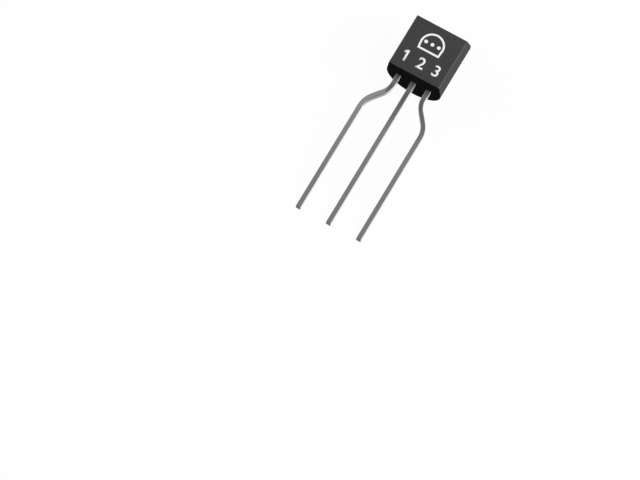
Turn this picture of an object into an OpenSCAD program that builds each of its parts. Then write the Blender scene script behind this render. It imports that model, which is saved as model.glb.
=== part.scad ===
// TO-92 transistor with its outer leads formed to a wider pitch, lying on its round back.
// Lengths are in millimetres and angles in degrees.
//
// Each piece is drawn in the frame of the standing device: x runs across the flat face,
// y runs back from the flat face, and z runs up from the face that the leads leave.
// lie_down() then turns and lowers every piece in the same way, so that the leads' tips and
// the edge of the round back rest on the plane z = 0, with the flat face up.

/* [Body] */
// Width across the round back
body_w = 4.55; // [4.4:0.05:4.8]
// Depth from the flat face to the round back
body_d = 3.8; // [3.5:0.05:4.2]
// Width of the flat face
flat_w = 4.26; // [3.8:0.02:4.4]
// Height of the flat face
flat_h = 4.28; // [3.9:0.02:4.6]
// Height of the round back
back_h = 4.58; // [4.3:0.02:4.8]
// Depth over which the top slopes up from the flat face to the height of the back
top_run = 1.3; // [0.8:0.05:1.4]
// Rounding of the two upright edges of the flat face
edge_r = 0.12; // [0.04:0.02:0.3]
// Diameter of the ejector pin's mark in the round back
mark_d = 1.5; // [0.8:0.1:2]
// Depth of the ejector pin's mark
mark_depth = 0.2; // [0.1:0.02:0.3]
// Height of the mark's centre above the lead side
mark_z = 2.3; // [1.4:0.1:3.2]

/* [Leads] */
// Width of a lead, across the row of leads
lead_w = 0.36; // [0.3:0.02:0.5]
// Thickness of the sheet that the leads are stamped from
lead_t = 0.46; // [0.36:0.02:0.5]
// Depth of the leads' middle plane behind the flat face
lead_y = 1.71; // [1.5:0.02:1.9]
// Length of the leads below the body
lead_len = 12.7; // [8:0.1:16]
// Pitch of the leads where they leave the body
exit_pitch = 1.27; // [1.15:0.01:1.4]
// Pitch of the leads at their tips
formed_pitch = 2.54; // [2.3:0.02:3]
// Straight length of an outer lead before its first bend
exit_run = 0.8; // [0.3:0.02:1.5]
// Radius of the bend outwards, at the middle of the lead
bend_out_r = 1.5; // [0.8:0.05:1.9]
// Radius of the bend back to straight, at the middle of the lead
bend_back_r = 1.8; // [0.8:0.05:2.2]
// Angle that an outer lead spreads at
spread_angle = 38; // [30:1:48]

/* [Lead frame inside the body] */
// Width of a lead's stem inside the body
stem_w = 0.5; // [0.4:0.02:0.7]
// Depth of the step where a lead widens to its stem
stem_z = 0.3; // [0.2:0.02:0.6]
// Width of a bond post
post_w = 0.8; // [0.6:0.02:0.9]
// Height of a bond post
post_h = 0.5; // [0.3:0.02:0.7]
// Height of the base lead's bond post above the lead side
base_post_z = 1.1; // [0.8:0.05:1.3]
// Gap that the stamping tool leaves between neighbours
stamp_gap = 0.3; // [0.2:0.02:0.4]
// Height of the chip pad
pad_h = 1.4; // [1.1:0.05:1.6]
// Rounding of the posts' and the pad's corners
stamp_r = 0.08; // [0.04:0.01:0.12]

/* [Chip and wires] */
// Side of the chip
chip_side = 0.42; // [0.35:0.01:0.6]
// Thickness of the chip
chip_t = 0.18; // [0.12:0.01:0.25]
// Thickness of the solder under the chip
solder_t = 0.03; // [0.02:0.005:0.05]
// Width of the solder that shows around the chip
solder_rim = 0.04; // [0.02:0.01:0.1]
// Distance of each wire's ball from the chip's centre
ball_offset = 0.11; // [0.09:0.01:0.14]
// Diameter of the ball that joins a wire to the chip
ball_d = 0.1; // [0.08:0.01:0.12]
// Height of the ball
ball_h = 0.03; // [0.02:0.005:0.05]
// Diameter of a bond wire
wire_d = 0.04; // [0.03:0.005:0.05]
// Length of wire that stands up from the ball before it bends
wire_rise = 0.12; // [0.05:0.01:0.2]
// Radius that the wire bends over with
wire_bend_r = 0.12; // [0.08:0.01:0.2]
// Diameter of the flattened foot that joins a wire to its post
foot_d = 0.1; // [0.06:0.01:0.14]
// Length of wire that the foot is flattened from
foot_run = 0.09; // [0.06:0.01:0.12]

/* [Hidden] */
$fn = 64;

// Colours
epoxy_colour = [0.17, 0.17, 0.175];
lead_colour = [0.62, 0.62, 0.61];
silicon_colour = [0.36, 0.38, 0.42];
solder_colour = [0.72, 0.72, 0.7];
gold_colour = [0.86, 0.68, 0.3];

// Facets in a small rounding, in one bend of a lead, and along and around a bond wire
round_steps = 6;
lead_bend_steps = 12;
wire_bend_steps = 5;
wire_sides = 8;

// Plan of the body. A side runs from the flat face's corner to the widest place.
back_r = body_w / 2;
back_y = body_d - back_r;
flat_half = flat_w / 2;
side_angle = atan2(back_y, back_r - flat_half);
// The rounding touches the flat face this far from their corner.
edge_run = edge_r / tan((180 - side_angle) / 2);

// Leads
lead_front = lead_y - lead_t / 2;
lead_back = lead_y + lead_t / 2;
spread = formed_pitch - exit_pitch;
// The narrow strip ends inside the wider stem
strip_top = 2 * stem_z;
// Length of the slanting stretch, and depth below the body where the lead is upright again
both_radii = bend_out_r + bend_back_r;
slant_run = (spread - both_radii * (1 - cos(spread_angle))) / sin(spread_angle);
tip_start = exit_run + both_radii * sin(spread_angle) + slant_run * cos(spread_angle);

// Lead frame inside the body
pad_z = base_post_z + post_h + stamp_gap;
pad_left = -exit_pitch + post_w / 2 + stamp_gap;
pad_right = exit_pitch + stem_w / 2;
chip_z = pad_z + pad_h / 2;
base_foot_z = base_post_z + post_h / 2;

// Lying position
rest_angle = atan2(body_d - lead_back, lead_len);
rest_z = body_d * cos(rest_angle);
y_at_tips = lead_front * sin(rest_angle) - lead_len * cos(rest_angle);
y_at_top = body_d * sin(rest_angle) + back_h * cos(rest_angle);
rest_y = -(y_at_tips + y_at_top) / 2;

// Turns the standing device so that it rests on its leads' tips and the edge of its back,
// with the origin below the middle of its box.
module lie_down() {
    translate([0, rest_y, rest_z])
        rotate([-90 + rest_angle, 0, 0])
            children();
}

// Points along an arc, from angle a to angle b
function arc_points(centre, radius, a, b, steps) = [
    for (i = [0:steps])
        let (angle = a + (b - a) * i / steps)
            centre + radius * [cos(angle), sin(angle)]
];

// Outline of the body, seen from above: a flat front, two drafted sides and a round back
module body_plan() {
    corner = flat_half - edge_run;
    intersection() {
        translate([0, back_y])
            circle(r = back_r);
        translate([-back_r, back_y])
            square([body_w, back_r]);
    }
    polygon(concat(
        arc_points([-corner, edge_r], edge_r, 90 + side_angle, 270, round_steps),
        arc_points([corner, edge_r], edge_r, -90, 90 - side_angle, round_steps),
        [[back_r, back_y], [0, back_y + back_r / 2], [-back_r, back_y]]
    ));
}

// What lies above the body's top, in side view: y across and z up. The top slopes up over
// top_run from the flat face, and is level from there to the back.
module above_top(ceiling) {
    slope = (back_h - flat_h) / top_run;
    polygon([
        [-body_d, flat_h - slope * body_d],
        [top_run, back_h],
        [2 * body_d, back_h],
        [2 * body_d, ceiling],
        [-body_d, ceiling]
    ]);
}

// The moulded form before anything is left out of it
module moulded_form() {
    blank_h = flat_h + back_h;
    difference() {
        linear_extrude(height = blank_h)
            body_plan();
        translate([-body_w, 0, 0])
            rotate([90, 0, 90])
                linear_extrude(height = 2 * body_w)
                    above_top(2 * blank_h);
        // mark of the ejector pin
        translate([0, body_d - mark_depth, mark_z])
            rotate([-90, 0, 0])
                cylinder(d = mark_d, h = body_d);
    }
}

// Outline of the right outer lead, from within its stem down to its tip. It leaves the body
// at x = exit_pitch, bends outwards and bends back to run straight down.
function formed_points() =
    let (half_w = lead_w / 2)
    let (bend_out = [exit_pitch + bend_out_r, -exit_run])
    let (bend_back = [formed_pitch - bend_back_r, -tip_start])
    let (turned = 180 + spread_angle)
    concat(
        [[exit_pitch + half_w, strip_top], [exit_pitch - half_w, strip_top]],
        arc_points(bend_out, bend_out_r + half_w, 180, turned, lead_bend_steps),
        arc_points(bend_back, bend_back_r - half_w, spread_angle, 0, lead_bend_steps),
        [[formed_pitch - half_w, -lead_len], [formed_pitch + half_w, -lead_len]],
        arc_points(bend_back, bend_back_r + half_w, 0, spread_angle, lead_bend_steps),
        arc_points(bend_out, bend_out_r - half_w, turned, 180, lead_bend_steps)
    );

// Outline of the outer lead on one side, 1 for the right and -1 for the left. The left one
// takes its points in reverse, so that both outlines turn the same way.
module formed_outline(side) {
    points = formed_points();
    last = len(points) - 1;
    polygon([
        for (i = [0:last])
            let (p = points[side > 0 ? i : last - i])
                [side * p.x, p.y]
    ]);
}

// Rectangle with rounded corners, by its left, lower, right and upper edges
module stamped_plate(left, low, right, high) {
    x0 = left + stamp_r;
    x1 = right - stamp_r;
    y0 = low + stamp_r;
    y1 = high - stamp_r;
    polygon(concat(
        arc_points([x1, y0], stamp_r, -90, 0, round_steps),
        arc_points([x1, y1], stamp_r, 0, 90, round_steps),
        arc_points([x0, y1], stamp_r, 90, 180, round_steps),
        arc_points([x0, y0], stamp_r, 180, 270, round_steps)
    ));
}

// Stem of a lead inside the body, on the line x, up to height z
module stem_outline(x, z) {
    translate([x - stem_w / 2, stem_z])
        square([stem_w, z - stem_z]);
}

// Stem of a lead with a bond post on its end
module post_outline(x, z) {
    stem_outline(x, z + post_h / 2);
    stamped_plate(x - post_w / 2, z, x + post_w / 2, z + post_h);
}

// Gives a flat outline in x and z the thickness of the sheet, in the leads' plane
module stamp() {
    translate([0, lead_back, 0])
        rotate([90, 0, 0])
            linear_extrude(height = lead_t)
                children();
}

module collector_lead() {
    color(lead_colour)
        stamp() {
            formed_outline(1);
            stem_outline(exit_pitch, pad_z + pad_h / 2);
            stamped_plate(pad_left, pad_z, pad_right, pad_z + pad_h);
        }
}

module base_lead() {
    color(lead_colour)
        stamp() {
            translate([-lead_w / 2, -lead_len])
                square([lead_w, lead_len + strip_top]);
            post_outline(0, base_post_z);
        }
}

module emitter_lead() {
    color(lead_colour)
        stamp() {
            formed_outline(-1);
            post_outline(-exit_pitch, chip_z - post_h / 2);
        }
}

// Square plate that lies on the chip pad, with its lower face at the height given
module on_pad(side, height, thickness) {
    translate([0, lead_front - height, chip_z])
        rotate([90, 0, 0])
            translate([-side / 2, -side / 2, 0])
                cube([side, side, thickness]);
}

module chip_solder() {
    color(solder_colour)
        on_pad(chip_side + 2 * solder_rim, 0, solder_t);
}

module transistor_chip() {
    color(silicon_colour)
        on_pad(chip_side, solder_t, chip_t);
}

// Ring of points around a wire, at a point in x and z, where the wire heads along an angle
// from +x towards +z
function wire_ring(at, heading, radius) = [
    for (i = [0:wire_sides - 1])
        let (angle = 360 * i / wire_sides)
        let (out = radius * sin(angle))
            [at.x - out * sin(heading), radius * cos(angle), at.y + out * cos(heading)]
];

// Bond wire over a span. It runs from its ball at x = 0 to its foot at x = span, with the
// lead frame's face at z = 0 and the chip's face above it.
module bond_wire(span) {
    chip_face = solder_t + chip_t;
    ball_top = chip_face + ball_h;
    bend_z = ball_top + wire_rise;
    // the falling stretch is the tangent from the foot to the bend's circle
    reach = norm([span - wire_bend_r, bend_z]);
    fall = atan2(bend_z, span - wire_bend_r) + asin(wire_bend_r / reach);
    wire_end = [span - foot_run * cos(fall), foot_run * sin(fall)];
    rings = concat(
        [
            wire_ring([0, chip_face], 90, ball_d / 2),
            wire_ring([0, ball_top], 90, ball_d / 2),
            wire_ring([0, ball_top], 90, wire_d / 2)
        ],
        [
            for (i = [0:wire_bend_steps])
                let (turn = (90 + fall) * i / wire_bend_steps)
                let (spoke = [-cos(turn), sin(turn)])
                    wire_ring([wire_bend_r, bend_z] + wire_bend_r * spoke, 90 - turn, wire_d / 2)
        ],
        [
            wire_ring(wire_end, -fall, wire_d / 2),
            wire_ring([span, 0], -90, foot_d / 2)
        ]
    );
    last = len(rings) * wire_sides;
    polyhedron(
        points = [for (ring = rings) each ring],
        faces = concat(
            [[for (i = [0:wire_sides - 1]) i]],
            [
                for (start = [0:wire_sides:last - 2 * wire_sides], i = [0:wire_sides - 1])
                    let (next = (i + 1) % wire_sides)
                        [start + i, start + wire_sides + i, start + wire_sides + next, start + next]
            ],
            [[for (i = [1:wire_sides]) last - i]]
        )
    );
}

module base_wire() {
    start_z = chip_z - ball_offset;
    color(gold_colour)
        translate([0, lead_front, start_z])
            rotate([0, 90, 0])
                rotate([90, 0, 0])
                    bond_wire(start_z - base_foot_z);
}

module emitter_wire() {
    color(gold_colour)
        translate([-ball_offset, lead_front, chip_z])
            rotate([0, 180, 0])
                rotate([90, 0, 0])
                    bond_wire(exit_pitch - ball_offset);
}

// The epoxy is moulded around everything that the lead frame carries.
module body() {
    color(epoxy_colour)
        difference() {
            moulded_form();
            collector_lead();
            base_lead();
            emitter_lead();
            chip_solder();
            transistor_chip();
            base_wire();
            emitter_wire();
        }
}

lie_down() body();
lie_down() collector_lead();
lie_down() base_lead();
lie_down() emitter_lead();
lie_down() transistor_chip();
lie_down() chip_solder();
lie_down() base_wire();
lie_down() emitter_wire();
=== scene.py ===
"""Looks of a TO-92 transistor with formed leads, which lies on its round back.

Each piece is drawn as the standing device: x runs across the flat face, y runs back from it,
and z runs up from the face that the leads leave. LIE_DOWN then lays it where its solid lies.
"""

from math import atan2, cos, pi, radians, sin, tan

import bmesh
import bpy
from mathutils import Matrix, Vector


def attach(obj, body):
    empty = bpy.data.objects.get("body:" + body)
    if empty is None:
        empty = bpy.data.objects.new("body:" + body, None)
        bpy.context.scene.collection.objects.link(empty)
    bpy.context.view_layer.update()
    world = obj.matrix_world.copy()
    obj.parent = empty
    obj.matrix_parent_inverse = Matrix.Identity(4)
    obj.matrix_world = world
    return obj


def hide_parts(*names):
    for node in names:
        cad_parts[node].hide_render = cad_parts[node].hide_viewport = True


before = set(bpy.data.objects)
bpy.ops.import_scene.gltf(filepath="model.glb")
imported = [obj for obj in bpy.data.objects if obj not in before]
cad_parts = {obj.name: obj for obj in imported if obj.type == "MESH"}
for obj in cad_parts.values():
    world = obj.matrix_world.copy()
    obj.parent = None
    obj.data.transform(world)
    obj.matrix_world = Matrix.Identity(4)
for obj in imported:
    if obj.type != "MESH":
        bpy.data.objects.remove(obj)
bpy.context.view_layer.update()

MM = 0.001

# Body
BODY_W = 4.55 * MM
BODY_D = 3.8 * MM
FLAT_W = 4.26 * MM
FLAT_H = 4.28 * MM
BACK_H = 4.58 * MM
TOP_RUN = 1.3 * MM
EDGE_R = 0.12 * MM
EDGE_STEPS = 6
RIM_R = 0.06 * MM
RIM_STEPS = 4
BACK_R = BODY_W / 2
BACK_Y = BODY_D - BACK_R
SIDE_ANGLE = atan2(BACK_Y, BACK_R - FLAT_W / 2)
EDGE_RUN = EDGE_R / tan((pi - SIDE_ANGLE) / 2)
TOP_ANGLE = atan2(BACK_H - FLAT_H, TOP_RUN)
BACK_STEPS = 96
END_FACING = 0.95
# Index of the ends' material, which is painted near black as shade
SHADED_ENDS = 1
# Index of the mark's material: smooth, and painted darker as shade in its recess
MARK_FINISH = 2

# Mark of the ejector pin
MARK_D = 1.5 * MM
MARK_DEPTH = 0.2 * MM
MARK_Z = 2.3 * MM
MARK_DRAFT = 0.03 * MM
MARK_STEPS = 72
MARK_RIM_R = 0.02 * MM
MARK_RIM_STEPS = 2

# Leads
LEAD_W = 0.36 * MM
LEAD_T = 0.46 * MM
LEAD_Y = 1.71 * MM
LEAD_LEN = 12.7 * MM
EXIT_PITCH = 1.27 * MM
FORMED_PITCH = 2.54 * MM
EXIT_RUN = 0.8 * MM
BEND_OUT_R = 1.5 * MM
BEND_BACK_R = 1.8 * MM
SPREAD_ANGLE = radians(38)
BEND_STEPS = 14
LEAD_EDGE_R = 0.03 * MM
LEAD_EDGE_STEPS = 3
CUT_T = 0.012 * MM
LEAD_FRONT = LEAD_Y - LEAD_T / 2
LEAD_BACK = LEAD_Y + LEAD_T / 2
SPREAD = FORMED_PITCH - EXIT_PITCH
BENDS_SHIFT = (BEND_OUT_R + BEND_BACK_R) * (1 - cos(SPREAD_ANGLE))
SLANT_RUN = (SPREAD - BENDS_SHIFT) / sin(SPREAD_ANGLE)
SLANT_START = EXIT_RUN + BEND_OUT_R * sin(SPREAD_ANGLE)
SLANT_END = SLANT_START + SLANT_RUN * cos(SPREAD_ANGLE)
TIP_START = SLANT_END + BEND_BACK_R * sin(SPREAD_ANGLE)
EXITS = (-EXIT_PITCH, 0, EXIT_PITCH)

# Lead frame inside the body
STEM_W = 0.5 * MM
STEM_Z = 0.3 * MM
STEP_RISE = 0.04 * MM
POST_W = 0.8 * MM
POST_H = 0.5 * MM
BASE_POST_Z = 1.1 * MM
STAMP_GAP = 0.3 * MM
PAD_H = 1.4 * MM
STAMP_R = 0.08 * MM
STAMP_STEPS = 5
PAD_Z = BASE_POST_Z + POST_H + STAMP_GAP
CHIP_Z = PAD_Z + PAD_H / 2

# Marking on the flat
INK_T = 0.012 * MM
INK_SUNK = 0.004 * MM
DIGIT_H = 0.92 * MM
DIGIT_Z = 0.62 * MM
DIGIT_STEPS = 8
SIGN_SCALE = 0.42
SIGN_Z = 2.05 * MM
SIGN_STROKE = 0.15 * MM
SIGN_DOT_R = 0.14 * MM
SIGN_DOT_STEPS = 24

# Strokes of the figures, in units of the font
DIGIT_BOLD = 0.014
FLAG_T = 0.15
FLAG_RUN = (-0.14, -0.1, 0)
SAME_POINT = 1e-5

# Lying position
REST_ANGLE = atan2(BODY_D - LEAD_BACK, LEAD_LEN)
REST_Z = BODY_D * cos(REST_ANGLE)
Y_AT_TIPS = LEAD_FRONT * sin(REST_ANGLE) - LEAD_LEN * cos(REST_ANGLE)
Y_AT_TOP = BODY_D * sin(REST_ANGLE) + BACK_H * cos(REST_ANGLE)
REST_Y = -(Y_AT_TIPS + Y_AT_TOP) / 2
LIE_DOWN = Matrix.Translation((0, REST_Y, REST_Z)) @ Matrix.Rotation(REST_ANGLE - pi / 2, 4, "X")
STAND_UP = LIE_DOWN.inverted()

# Floor and light
FLOOR_R = 600 * MM
FLOOR_STEPS = 96
WALL_H = 120 * MM
FLOOR_GREY = 0.9
FLOOR_WHITE = 0.95
SKY = 0.3
LAMP_DISTANCE = 500 * MM
LAMP_SIZE = 420 * MM
KEY_AZIMUTH = radians(100)
KEY_ELEVATION = radians(48)
KEY_POWER = 2.0
FILL_AZIMUTH = radians(285)
FILL_ELEVATION = radians(42)
FILL_POWER = 0.8

# Camera
LENS = 400
SENSOR = 36
FRAME_W = 640
FRAME_H = 480
CAMERA_AZIMUTH = radians(20.2)
CAMERA_ELEVATION = radians(62.4)
CAMERA_ROLL = radians(10.3)
PIXELS_PER_MM = 13.564
ORIGIN_PIXEL = (414.02, 75.20)

# Angles that count as sharp, and lengths that count as none
SHARP = radians(50)
CREASE = radians(10)
NEAR = MM / 100
NO_WIDTH = MM / 10**4


def of_type(geom, kind):
    """The vertices, edges or faces among an operator's results."""
    return [g for g in geom if isinstance(g, kind)]


def bevel(bm, edges, offset, segments):
    """Rounds edges."""
    bmesh.ops.bevel(
        bm,
        geom=edges,
        offset=offset,
        offset_type="OFFSET",
        segments=segments,
        profile=0.5,
        affect="EDGES",
        clamp_overlap=True,
        material=-1,
    )


def sharp_edges(bm, angle=SHARP):
    """Edges that two faces meet at with a corner sharper than an angle."""
    return [e for e in bm.edges if e.is_manifold and e.calc_face_angle() > angle]


def extrude(bm, faces, vector):
    """Extrudes faces by a vector and returns the moved ones."""
    grown = bmesh.ops.extrude_face_region(bm, geom=faces)["geom"]
    bmesh.ops.translate(bm, verts=of_type(grown, bmesh.types.BMVert), vec=vector)
    return of_type(grown, bmesh.types.BMFace)


def new_object(bm, name):
    """Object of a mesh, once its slivers are gone and its faces point outwards."""
    bmesh.ops.dissolve_degenerate(bm, dist=NO_WIDTH, edges=bm.edges)
    bmesh.ops.recalc_face_normals(bm, faces=bm.faces)
    mesh = bpy.data.meshes.new(name)
    bm.to_mesh(mesh)
    bm.free()
    obj = bpy.data.objects.new(name, mesh)
    bpy.context.scene.collection.objects.link(obj)
    return obj


def shade_roundings(mesh):
    """Shades smoothly, by normals that follow the large faces and turn only in the roundings."""
    mesh.shade_smooth()
    bm = bmesh.new()
    bm.from_mesh(mesh)
    normals = []
    for vertex in bm.verts:
        total = Vector()
        for face in vertex.link_faces:
            total += face.normal * (face.calc_area() / MM**2)
        normals.append(total.normalized())
    bm.free()
    mesh.normals_split_custom_set_from_vertices(normals)


def lay_down(obj, slot, materials, *nodes):
    """Lays a standing piece down, gives it its finish and lets it stand for its nodes."""
    obj.data.transform(LIE_DOWN)
    for material in materials:
        obj.data.materials.append(material)
    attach(obj, "root")
    if nodes:
        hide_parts(*nodes)
    return obj


def plan_face(bm, scale=1):
    """Plan of the body: a round back spun from the widest place, drafted sides and the flat."""
    centre = Vector((0, BACK_Y, 0)) * scale
    right = bm.verts.new(centre + Vector((BACK_R, 0, 0)) * scale)
    spun = bmesh.ops.spin(
        bm, geom=[right], cent=centre, axis=(0, 0, 1), angle=pi, steps=BACK_STEPS
    )
    left = of_type(spun["geom_last"], bmesh.types.BMVert)[0]
    flat_left = bm.verts.new((-FLAT_W / 2 * scale, 0, 0))
    flat_right = bm.verts.new((FLAT_W / 2 * scale, 0, 0))
    for ends in ((left, flat_left), (flat_left, flat_right), (flat_right, right)):
        bm.edges.new(ends)
    return bmesh.ops.contextual_create(bm, geom=bm.edges[:])["faces"]


def without(obj, cutter):
    """Mesh of an object with a cutter's form taken out."""
    cut = obj.modifiers.new("cut", "BOOLEAN")
    cut.operation = "DIFFERENCE"
    cut.solver = "EXACT"
    cut.object = cutter
    evaluated = obj.evaluated_get(bpy.context.evaluated_depsgraph_get())
    bm = bmesh.new()
    bm.from_mesh(evaluated.to_mesh())
    evaluated.to_mesh_clear()
    for used in (obj, cutter):
        bpy.data.objects.remove(used)
    return bm


def ejector_pin():
    """Cutter for the ejector pin's mark: a drafted disc that reaches out of the round back."""
    bm = bmesh.new()
    reach = 2 * MARK_DEPTH
    bmesh.ops.create_cone(
        bm,
        cap_ends=True,
        segments=MARK_STEPS,
        radius1=MARK_D / 2 - MARK_DRAFT,
        radius2=MARK_D / 2 + MARK_DRAFT,
        depth=reach,
        matrix=Matrix.Translation((0, BODY_D - MARK_DEPTH + reach / 2, MARK_Z))
        @ Matrix.Rotation(-pi / 2, 4, "X"),
    )
    return new_object(bm, "ejector_pin")


def in_mark(face):
    """Whether a face of the body belongs to the ejector pin's mark."""
    reach = MARK_D / 2 + 2 * MARK_RIM_R
    return all(Vector((v.co.x, v.co.z - MARK_Z)).length < reach for v in face.verts)


def moulded_body(dull, end, pressed):
    """The epoxy moulding, with soft edges, smooth ends that are painted near black as shade, and
    the ejector pin's mark, painted darker as shade in its recess.
    """
    bm = bmesh.new()
    extrude(bm, plan_face(bm), (0, 0, BACK_H))
    cut = bmesh.ops.bisect_plane(
        bm,
        geom=bm.verts[:] + bm.edges[:] + bm.faces[:],
        plane_co=(0, 0, FLAT_H),
        plane_no=(0, -sin(TOP_ANGLE), cos(TOP_ANGLE)),
        clear_outer=True,
    )
    bmesh.ops.contextual_create(bm, geom=of_type(cut["geom_cut"], bmesh.types.BMEdge))
    round_flat = [e for e in sharp_edges(bm) if all(v.co.y < NEAR for v in e.verts)]
    upright = [e for e in round_flat if abs(e.verts[0].co.z - e.verts[1].co.z) > NEAR]
    bevel(bm, upright, EDGE_RUN, EDGE_STEPS)
    bevel(bm, sharp_edges(bm, CREASE), RIM_R, RIM_STEPS)
    bm = without(new_object(bm, "moulding"), ejector_pin())
    bevel(bm, sharp_edges(bm), MARK_RIM_R, MARK_RIM_STEPS)
    bm.normal_update()
    for face in bm.faces:
        # The mark's faces get a smooth finish whose darker grey is painted shade in the recess
        if in_mark(face):
            face.material_index = MARK_FINISH
        # Faces that face up or down get the ends' near-black painted shade
        elif abs(face.normal.z) > END_FACING:
            face.material_index = SHADED_ENDS
    obj = lay_down(new_object(bm, "moulded_body"), "epoxy", (dull, end, pressed), "body")
    shade_roundings(obj.data)
    return obj


class Strip:
    """A lead that grows run by run from its cut tip, in the plane of the lead frame."""

    def __init__(self, x):
        self.bm = bmesh.new()
        self.heading = 0
        left = x - LEAD_W / 2
        right = x + LEAD_W / 2
        plan = ((left, LEAD_FRONT), (right, LEAD_FRONT), (right, LEAD_BACK), (left, LEAD_BACK))
        self.tip = [self.bm.verts.new((a, b, -LEAD_LEN)) for a, b in plan]
        self.end = self.bm.faces.new(self.tip)

    def grow(self, faces):
        """Takes the new end, and leaves no face inside the strip at the old one."""
        bmesh.ops.delete(self.bm, geom=[self.end], context="FACES_ONLY")
        self.end = faces[0]

    def run(self, length):
        """A straight run."""
        along = Vector((sin(self.heading), 0, cos(self.heading)))
        self.grow(extrude(self.bm, [self.end], along * length))

    def bend(self, angle, radius):
        """A bend, towards +x if the angle is positive."""
        side = radius if angle > 0 else -radius
        across = Vector((cos(self.heading), 0, -sin(self.heading)))
        centre = self.end.calc_center_median() + side * across
        spun = bmesh.ops.spin(
            self.bm, geom=[self.end], cent=centre, axis=(0, 1, 0), angle=angle, steps=BEND_STEPS
        )
        self.grow(of_type(spun["geom_last"], bmesh.types.BMFace))
        self.heading += angle

    def widen(self, left, right):
        """A step to another width."""
        self.run(STEP_RISE)
        middle = self.end.calc_center_median().x
        for v in self.end.verts:
            v.co.x = left if v.co.x < middle else right

    def rise_to(self, z):
        """A straight run up to a height."""
        self.run(z - self.end.calc_center_median().z)


def stem(strip, x, plate_left, plate_right, low, high):
    """Grows the part of a lead that the body holds: a stem, and a post or pad on its end."""
    strip.rise_to(STEM_Z)
    strip.widen(x - STEM_W / 2, x + STEM_W / 2)
    strip.rise_to(low)
    strip.widen(plate_left, plate_right)
    strip.rise_to(high)


def formed(strip, side):
    """Grows an outer lead from its tip to the body. The side is 1 for the right one, else -1."""
    strip.run(LEAD_LEN - TIP_START)
    strip.bend(-side * SPREAD_ANGLE, BEND_BACK_R)
    strip.run(SLANT_RUN)
    strip.bend(side * SPREAD_ANGLE, BEND_OUT_R)
    strip.rise_to(0)


def centre_x(z, side):
    """Distance of a lead's centreline from x = 0 at a height, with side 0 for the middle lead."""
    depth = -z
    if depth <= EXIT_RUN:
        spread = 0
    elif depth <= SLANT_START:
        spread = BEND_OUT_R - (BEND_OUT_R**2 - (depth - EXIT_RUN) ** 2) ** 0.5
    elif depth <= SLANT_END:
        shift = BEND_OUT_R * (1 - cos(SPREAD_ANGLE))
        spread = shift + (depth - SLANT_START) * tan(SPREAD_ANGLE)
    elif depth <= TIP_START:
        spread = SPREAD - BEND_BACK_R + (BEND_BACK_R**2 - (TIP_START - depth) ** 2) ** 0.5
    else:
        spread = SPREAD
    return side * (EXIT_PITCH + spread)


def finish_lead(strip, name, material, side):
    """Rounds a lead's edges, and notes for its finish where each point is along the strip."""
    bm = strip.bm
    bm.faces.new(strip.tip)
    in_body = [e for e in sharp_edges(bm) if all(v.co.z > STEM_Z + STEP_RISE * 2 for v in e.verts)]
    corners = [e for e in in_body if abs(e.verts[0].co.y - e.verts[1].co.y) > LEAD_T / 2]
    bevel(bm, corners, STAMP_R, STAMP_STEPS)
    bevel(bm, sharp_edges(bm), LEAD_EDGE_R, LEAD_EDGE_STEPS)
    obj = new_object(bm, name)
    drawn = obj.data.attributes.new("drawn", "FLOAT_VECTOR", "POINT")
    for vertex, entry in zip(obj.data.vertices, drawn.data):
        x, y, z = vertex.co
        entry.vector = Vector((x - centre_x(z, side), y - LEAD_Y, z)) / MM
    lay_down(obj, "tinned_lead", (material,), name)
    shade_roundings(obj.data)
    return obj


def collector_lead(material):
    """The right lead, with the chip's pad on its end."""
    strip = Strip(FORMED_PITCH)
    formed(strip, 1)
    pad_left = -EXIT_PITCH + POST_W / 2 + STAMP_GAP
    pad_right = EXIT_PITCH + STEM_W / 2
    stem(strip, EXIT_PITCH, pad_left, pad_right, PAD_Z, PAD_Z + PAD_H)
    return finish_lead(strip, "collector_lead", material, 1)


def base_lead(material):
    """The straight middle lead, with a bond post on its end."""
    strip = Strip(0)
    strip.rise_to(0)
    stem(strip, 0, -POST_W / 2, POST_W / 2, BASE_POST_Z, BASE_POST_Z + POST_H)
    return finish_lead(strip, "base_lead", material, 0)


def emitter_lead(material):
    """The left lead, with a bond post on its end."""
    strip = Strip(-FORMED_PITCH)
    formed(strip, -1)
    low = CHIP_Z - POST_H / 2
    stem(strip, -EXIT_PITCH, -EXIT_PITCH - POST_W / 2, -EXIT_PITCH + POST_W / 2, low, low + POST_H)
    return finish_lead(strip, "emitter_lead", material, -1)


def print_on_flat(bm, name, material):
    """Gives a flat shape in x and y the thickness of ink, and sets it upright on the flat."""
    extrude(bm, bm.faces[:], (0, 0, INK_T))
    bmesh.ops.transform(bm, matrix=Matrix.Rotation(pi / 2, 4, "X"), verts=bm.verts)
    bmesh.ops.translate(bm, verts=bm.verts, vec=(0, INK_SUNK, 0))
    return lay_down(new_object(bm, name), "white_ink", (material,))


def add_flag(bm):
    """Gives the bare bar of a figure 1 a short stroke, down to the left from its top."""
    low = max(v.co.y for v in bm.verts) - FLAG_T
    left = min(v.co.x for v in bm.verts)
    geom = bm.verts[:] + bm.edges[:] + bm.faces[:]
    bmesh.ops.bisect_plane(bm, geom=geom, plane_co=(0, low, 0), plane_no=(0, 1, 0))
    near = FLAG_T / 100
    side = [v for v in bm.verts if v.co.x < left + near and v.co.y > low - near]
    root = [e for e in bm.edges if all(v in side for v in e.verts)]
    grown = bmesh.ops.extrude_edge_only(bm, edges=root)["geom"]
    bmesh.ops.translate(bm, verts=of_type(grown, bmesh.types.BMVert), vec=FLAG_RUN)


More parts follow.
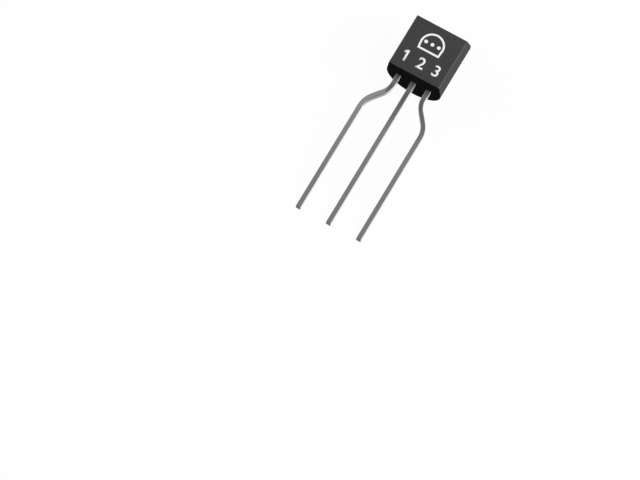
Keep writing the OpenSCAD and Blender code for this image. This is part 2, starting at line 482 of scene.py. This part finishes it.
def figure(number):
    """Flat mesh of a plain figure, in units of the font."""
    letters = bpy.data.curves.new("figure", "FONT")
    letters.body = str(number)
    letters.align_x = "CENTER"
    letters.resolution_u = DIGIT_STEPS
    letters.offset = DIGIT_BOLD
    written = bpy.data.objects.new("figure", letters)
    bpy.context.scene.collection.objects.link(written)
    bpy.context.view_layer.update()
    bm = bmesh.new()
    bm.from_mesh(written.to_mesh())
    written.to_mesh_clear()
    bpy.data.objects.remove(written)
    bmesh.ops.remove_doubles(bm, verts=bm.verts, dist=SAME_POINT)
    if number == 1:
        add_flag(bm)
    return bm


def pin_number(number, x, material):
    """A plain figure, printed above its lead."""
    bm = figure(number)
    low = min(v.co.y for v in bm.verts)
    high = max(v.co.y for v in bm.verts)
    size = DIGIT_H / (high - low)
    bmesh.ops.scale(bm, vec=(size, size, size), verts=bm.verts)
    bmesh.ops.translate(bm, vec=(x, DIGIT_Z - low * size, 0), verts=bm.verts)
    return print_on_flat(bm, f"pin_number_{number}", material)


def package_sign(material):
    """A plain pictogram of the package seen from its leads: its outline and three dots."""
    bm = bmesh.new()
    outline = plan_face(bm, SIGN_SCALE)
    bmesh.ops.inset_region(
        bm, faces=outline, thickness=SIGN_STROKE, use_boundary=True, use_even_offset=True
    )
    bmesh.ops.delete(bm, geom=outline, context="FACES_ONLY")
    for x in EXITS:
        bmesh.ops.create_circle(
            bm,
            cap_ends=True,
            segments=SIGN_DOT_STEPS,
            radius=SIGN_DOT_R,
            matrix=Matrix.Translation(Vector((x, LEAD_Y, 0)) * SIGN_SCALE),
        )
    bmesh.ops.translate(bm, vec=(0, SIGN_Z, 0), verts=bm.verts)
    return print_on_flat(bm, "package_sign", material)


class Wire:
    """A shader socket that arithmetic can be written on."""

    def __init__(self, paint, socket):
        self.paint = paint
        self.socket = socket

    def maths(self, operation, first, second):
        """The result of a Math node."""
        return self.paint.node("ShaderNodeMath", {"operation": operation}, {0: first, 1: second})

    def __add__(self, other):
        return self.maths("ADD", self, other)

    def __sub__(self, other):
        return self.maths("SUBTRACT", self, other)

    def __rsub__(self, other):
        return self.maths("SUBTRACT", other, self)

    def __mul__(self, other):
        return self.maths("MULTIPLY", self, other)

    def __gt__(self, other):
        return self.maths("GREATER_THAN", self, other)

    __radd__ = __add__
    __rmul__ = __mul__


class Paint:
    """A material that is built from expressions."""

    def __init__(self, name):
        self.material = bpy.data.materials.new(name)
        self.material.use_nodes = True
        self.tree = self.material.node_tree
        self.tree.nodes.clear()
        self.output = self.tree.nodes.new("ShaderNodeOutputMaterial")

    def node(self, kind, settings=None, values=None, output=0):
        """A node's output. Its settings are set before its sockets' values and links."""
        made = self.tree.nodes.new(kind)
        for name, value in (settings or {}).items():
            if name == "stops":
                ramp_stops(made.color_ramp, value)
            else:
                setattr(made, name, value)
        for name, value in (values or {}).items():
            if isinstance(value, Wire):
                self.tree.links.new(value.socket, made.inputs[name])
            else:
                made.inputs[name].default_value = value
        return Wire(self, made.outputs[output])

    def standing(self):
        """Place on the standing device, in millimetres."""
        settings = {"vector_type": "POINT"}
        values = {
            "Vector": self.node("ShaderNodeTexCoord", output="Object"),
            "Location": STAND_UP.translation / MM,
            "Rotation": STAND_UP.to_euler(),
            "Scale": (1 / MM, 1 / MM, 1 / MM),
        }
        return self.node("ShaderNodeMapping", settings, values)

    def drawn(self):
        """Place across, through and along a lead's strip, in millimetres."""
        return self.node("ShaderNodeAttribute", {"attribute_name": "drawn"}, output="Vector")

    def stretched(self, place, scale):
        """A place scaled by a different amount along each axis."""
        return self.node("ShaderNodeMapping", {}, {"Vector": place, "Scale": scale})

    def noise(self, place, scale, detail, roughness=0.5):
        """Noise from 0 to 1, with a scale in cells a millimetre."""
        values = {"Vector": place, "Scale": scale, "Detail": detail, "Roughness": roughness}
        return self.node("ShaderNodeTexNoise", {}, values)

    def ramp(self, factor, *stops):
        """A number that follows stops of position and value."""
        return self.node("ShaderNodeValToRGB", {"stops": stops}, {"Fac": factor})

    def graded(self, measure, *stops):
        """A number that follows stops of a measure, in the measure's own units, and value."""
        reach = stops[-1][0]
        return self.ramp(measure * (1 / reach), *((at / reach, value) for at, value in stops))

    def blend(self, factor, first, second):
        """A colour between two."""
        values = {"Factor": factor, 6: first, 7: second}
        return self.node("ShaderNodeMix", {"data_type": "RGBA"}, values, output=2)

    def axis(self, place, name):
        """One coordinate of a place."""
        return self.node("ShaderNodeSeparateXYZ", {}, {"Vector": place}, output=name)

    def flat_edge(self, place):
        """Distance from the nearer upright edge of the flat, in millimetres."""
        level = self.stretched(place, (1, 1, 0))
        folded = self.node("ShaderNodeVectorMath", {"operation": "ABSOLUTE"}, {0: level})
        values = {0: folded, 1: (FLAT_W / 2 / MM, 0, 0)}
        return self.node("ShaderNodeVectorMath", {"operation": "DISTANCE"}, values, output="Value")

    def bump(self, height, distance):
        """A normal for a height, with the distance that a height of 1 stands for."""
        return self.node("ShaderNodeBump", {}, {"Height": height, "Distance": distance})

    def finish(self, **values):
        """Ends the material in one Principled shader. A socket's spaces are written as _."""
        named = {name.replace("_", " "): value for name, value in values.items()}
        shader = self.node("ShaderNodeBsdfPrincipled", {}, named)
        self.tree.links.new(shader.socket, self.output.inputs["Surface"])
        return self.material


def ramp_stops(ramp, stops):
    """Sets a ramp's stops, each a position and a grey value."""
    while len(ramp.elements) > 1:
        ramp.elements.remove(ramp.elements[-1])
    for number, (position, value) in enumerate(stops):
        stop = ramp.elements[0] if number == 0 else ramp.elements.new(position)
        stop.position = position
        stop.color = (value, value, value, 1)


def grey(level, warmth=0.0):
    """A grey colour, a little warm or cool."""
    return (level * (1 + warmth), level, level * (1 - warmth), 1)


def dull_epoxy():
    """Black filled epoxy, dull and mottled, with specks of filler and a satin round back."""
    paint = Paint("dull_epoxy")
    place = paint.standing()
    clouds = paint.noise(place, 0.7, 3.0)
    mottle = paint.noise(place, 5.5, 3.0, 0.7)
    grain = paint.noise(place, 16.0, 3.0, 0.6)
    fine = paint.noise(place, 45.0, 2.0)
    specks = paint.ramp(paint.noise(place, 28.0, 1.0), (0.62, 0), (0.74, 1))
    shade = paint.blend(0.25 * clouds + 0.75 * mottle, grey(0.02, -0.01), grey(0.09))
    speckled = paint.blend(specks * 0.5, shade, grey(0.11, 0.02))
    corner = paint.graded(paint.flat_edge(place), (0.06, 1), (0.11, 0))
    round_back = paint.graded(paint.axis(place, "Y"), (1.68, 0), (2.0, 1))
    return paint.finish(
        Base_Color=speckled,
        Roughness=0.42 + 0.1 * clouds + 0.14 * grain,
        Normal=paint.bump(0.65 * grain + 0.35 * fine, 0.008 * MM),
        Specular_IOR_Level=0.02,
        Coat_Weight=0.8 * corner + 0.75 * round_back,
        Coat_Roughness=0.48,
    )


def smooth_epoxy(name, dark, light):
    """Smooth unscratched epoxy, clouded between two greys, which are given dark as painted shade.
    """
    paint = Paint(name)
    place = paint.standing()
    clouds = paint.noise(place, 1.2, 2.0)
    grain = paint.noise(place, 30.0, 2.0)
    return paint.finish(
        Base_Color=paint.blend(clouds, grey(dark), grey(light)),
        Roughness=0.45 + 0.1 * clouds + 0.1 * grain,
        Normal=paint.bump(grain, 0.004 * MM),
        Specular_IOR_Level=0.0,
    )


def end_epoxy():
    """Epoxy of the body's two ends, painted near black as shade."""
    return smooth_epoxy("end_epoxy", 0.007, 0.012)


def mark_epoxy():
    """Epoxy that the ejector pin pressed smooth, painted darker than the back around it as shade
    in the recess.
    """
    return smooth_epoxy("mark_epoxy", 0.036, 0.046)


def worn_tin(paint, place, streaks, scratches):
    """Greys of the tin: clouded and streaky, with paler scratches along the strip."""
    clouds = paint.noise(place, 1.6, 3.0)
    shade = paint.blend(0.55 * clouds + 0.45 * streaks, grey(0.37, 0.01), grey(0.46, 0.005))
    return paint.blend(scratches * 0.25, shade, grey(0.56))


def front_tin(paint, tin, depth, from_left):
    """Tin with painted light at the body, painted shade below it, darker towards the tips, and a
    painted highlight down the left lead's slant.
    """
    past_slant = paint.graded(from_left, (0.99, 0), (1.14, 1))
    # Painted shade on the fronts below the body, where the body hides their light, except down the
    # left lead's slant
    dull = paint.graded(depth, (0.5, 0), (1.1, 0.8), (1.5, 0.8), (4.5, 0))
    # Painted highlight down the front of the left lead's slant
    slant_highlight = paint.graded(depth, (3.0, 1), (4.5, 0.4), (6.0, 0.36), (10.0, 0))
    tip = paint.graded(depth, (6.25, 0), (12.5, 0.4))
    # Painted light on the fronts right at the body, against the shade that the body casts there
    painted_light_at_body = paint.graded(depth, (0.3, 1), (0.8, 0))
    # Fronts darkened just below the body as painted shade
    shade = paint.blend(dull * past_slant, tin, grey(0.2))
    shade = paint.blend(slant_highlight * (1 - past_slant) * 0.6, shade, grey(0.62))
    shade = paint.blend(tip, shade, grey(0.3))
    return paint.blend(painted_light_at_body, shade, grey(0.52))


def sheared_metal(paint, painted_glint, depth, from_left):
    """Bright metal of the sheared sides, white near the body as a painted highlight, and darker
    down the slant of the left lead as painted shade.
    """
    left_lead = paint.graded(from_left, (1.34, 1), (1.74, 0))
    slant = paint.graded(depth, (1.1, 0), (1.9, 1), (2.9, 1), (3.5, 0))
    # The metal's own grey, with the white painted highlight near the body
    bright = paint.blend(painted_glint, grey(0.76), grey(0.95))
    # Painted shade on the sides down the left lead's slant
    return paint.blend(slant * left_lead, bright, grey(0.28))


def tinned_metal():
    """Matt tin with fine streaks along the strip, sheared sides and a bare cut tip, and painted
    light, shade and highlights along the leads.
    """
    paint = Paint("tinned_lead")
    place = paint.drawn()
    streaks = paint.noise(paint.stretched(place, (14, 14, 0.6)), 1.0, 3.0)
    lines = paint.noise(paint.stretched(place, (40, 40, 0.35)), 1.0, 1.0)
    scratches = paint.ramp(lines, (0.62, 0), (0.75, 1))
    crystals = paint.noise(place, 22.0, 2.0)
    depth = paint.axis(place, "Z") * -1
    from_left = paint.axis(paint.standing(), "X") + FORMED_PITCH / MM
    across = paint.axis(place, "X")
    sheared = paint.graded(across * across, (0.026, 0), (0.031, 1))
    # White, non-metal sides near the body: a painted highlight
    painted_glint = sheared * paint.graded(depth, (1.0, 1), (2.0, 0))
    front = front_tin(paint, worn_tin(paint, place, streaks, scratches), depth, from_left)
    sides = sheared_metal(paint, painted_glint, depth, from_left)
    cut = depth > (LEAD_LEN - CUT_T) / MM
    return paint.finish(
        Base_Color=paint.blend(cut, paint.blend(sheared, front, sides), grey(0.11, 0.03)),
        Metallic=1.0 - painted_glint,
        Roughness=0.3 + 0.07 * streaks + 0.06 * crystals - 0.1 * sheared + 0.1 * cut,
        Normal=paint.bump(0.4 * streaks + 0.2 * crystals - 0.2 * scratches, 0.0012 * MM),
    )


def white_ink():
    """Printing ink, slightly uneven, through which the grain of the epoxy shows."""
    paint = Paint("white_ink")
    place = paint.standing()
    uneven = paint.noise(place, 7.0, 3.0)
    pores = paint.ramp(paint.noise(place, 30.0, 2.0), (0.68, 0), (0.78, 1))
    shade = paint.blend(uneven, grey(0.9), grey(0.95))
    return paint.finish(
        Base_Color=paint.blend(pores * 0.3, shade, grey(0.6)),
        Roughness=0.5 + 0.15 * uneven,
        Normal=paint.bump(uneven - pores, 0.003 * MM),
    )


def silicon():
    """Polished silicon, under a thin film that varies in colour."""
    paint = Paint("silicon_chip")
    place = paint.standing()
    film = paint.noise(place, 9.0, 2.0)
    return paint.finish(
        Base_Color=paint.blend(film, (0.1, 0.11, 0.15, 1), (0.14, 0.13, 0.2, 1)),
        Metallic=0.6,
        Roughness=0.15 + 0.1 * film,
    )


def solder():
    """Grey solder with a grainy skin."""
    paint = Paint("chip_solder")
    grain = paint.noise(paint.standing(), 30.0, 3.0)
    return paint.finish(
        Base_Color=paint.blend(grain, grey(0.42), grey(0.6)),
        Metallic=1.0,
        Roughness=0.35 + 0.2 * grain,
        Normal=paint.bump(grain, 0.004 * MM),
    )


def gold():
    """Drawn gold wire."""
    paint = Paint("gold_wire")
    streaks = paint.noise(paint.standing(), 40.0, 2.0)
    return paint.finish(
        Base_Color=paint.blend(streaks, (0.8, 0.55, 0.2, 1), (0.9, 0.66, 0.28, 1)),
        Metallic=1.0,
        Roughness=0.2 + 0.15 * streaks,
    )


def finish_inside():
    """Finishes the sealed pieces that keep their CAD shapes: chip, solder and wires."""
    wire = gold()
    finishes = {
        "transistor_chip": silicon(),
        "chip_solder": solder(),
        "base_wire": wire,
        "emitter_wire": wire,
    }
    for node, material in finishes.items():
        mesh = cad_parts[node].data
        mesh.materials.clear()
        mesh.materials.append(material)


def seen_white(paint):
    """1 for a ray that sees the background directly or in a gloss, and 0 for light."""
    def ray(name):
        return paint.node("ShaderNodeLightPath", output=name)

    total = ray("Is Camera Ray") + ray("Is Glossy Ray") + ray("Is Transmission Ray")
    return paint.node("ShaderNodeClamp", {}, {"Value": total})


def floor():
    """A pale floor and low wall that show white, on which the floor keeps a soft shadow."""
    paint = Paint("pale_floor")
    matt = paint.node("ShaderNodeBsdfDiffuse", {}, {"Color": grey(FLOOR_GREY)})
    glow = paint.node("ShaderNodeEmission", {}, {"Color": grey(1), "Strength": 1.0})
    values = {0: seen_white(paint) * FLOOR_WHITE, 1: matt, 2: glow}
    mixed = paint.node("ShaderNodeMixShader", {}, values)
    paint.tree.links.new(mixed.socket, paint.output.inputs["Surface"])
    bm = bmesh.new()
    bmesh.ops.create_circle(bm, cap_ends=True, segments=FLOOR_STEPS, radius=FLOOR_R)
    rim = [e for e in bm.edges if e.is_boundary]
    wall = bmesh.ops.extrude_edge_only(bm, edges=rim)["geom"]
    bmesh.ops.translate(bm, verts=of_type(wall, bmesh.types.BMVert), vec=(0, 0, WALL_H))
    obj = new_object(bm, "floor")
    obj.data.materials.append(paint.material)


def sky():
    """Even light from all round."""
    world = bpy.data.worlds.new("sky")
    bpy.context.scene.world = world
    world.use_nodes = True
    background = world.node_tree.nodes["Background"]
    background.inputs["Color"].default_value = grey(1)
    background.inputs["Strength"].default_value = SKY


def direction(azimuth, elevation):
    """Direction from the device to a lamp or camera, with azimuth 0 at the leads' tips."""
    level = cos(elevation)
    return Vector((sin(azimuth) * level, -cos(azimuth) * level, sin(elevation)))


def lamp(name, azimuth, elevation, power):
    """A square lamp that faces the device."""
    data = bpy.data.lights.new(name, "AREA")
    data.size = LAMP_SIZE
    data.energy = power
    obj = bpy.data.objects.new(name, data)
    bpy.context.scene.collection.objects.link(obj)
    back = direction(azimuth, elevation)
    obj.location = back * LAMP_DISTANCE
    obj.rotation_euler = (-back).to_track_quat("-Z", "Y").to_euler()


def camera():
    """A long lens at the photograph's angle, scale and place in the frame."""
    data = bpy.data.cameras.new("camera")
    data.lens = LENS
    data.sensor_width = SENSOR
    obj = bpy.data.objects.new("camera", data)
    bpy.context.scene.collection.objects.link(obj)
    back = direction(CAMERA_AZIMUTH, CAMERA_ELEVATION)
    turn = back.to_track_quat("Z", "Y").to_matrix() @ Matrix.Rotation(CAMERA_ROLL, 3, "Z")
    # Width of a pixel, as a share of the distance
    pixel = SENSOR / LENS / FRAME_W
    distance = MM / (PIXELS_PER_MM * pixel)
    origin = LIE_DOWN.translation
    depth = distance - back.dot(origin)
    right = (ORIGIN_PIXEL[0] - FRAME_W / 2) * pixel * depth
    up = (FRAME_H / 2 - ORIGIN_PIXEL[1]) * pixel * depth
    obj.location = origin - turn @ Vector((right, up, -depth))
    obj.rotation_euler = turn.to_euler()
    bpy.context.scene.camera = obj


def scene():
    """Makes every piece, and the room that it is seen in."""
    tin = tinned_metal()
    ink = white_ink()
    moulded_body(dull_epoxy(), end_epoxy(), mark_epoxy())
    collector_lead(tin)
    base_lead(tin)
    emitter_lead(tin)
    for number, x in enumerate(EXITS, start=1):
        pin_number(number, x, ink)
    package_sign(ink)
    finish_inside()
    floor()
    sky()
    lamp("key", KEY_AZIMUTH, KEY_ELEVATION, KEY_POWER)
    lamp("fill", FILL_AZIMUTH, FILL_ELEVATION, FILL_POWER)
    camera()
    bpy.context.scene.view_settings.view_transform = "Standard"


scene()
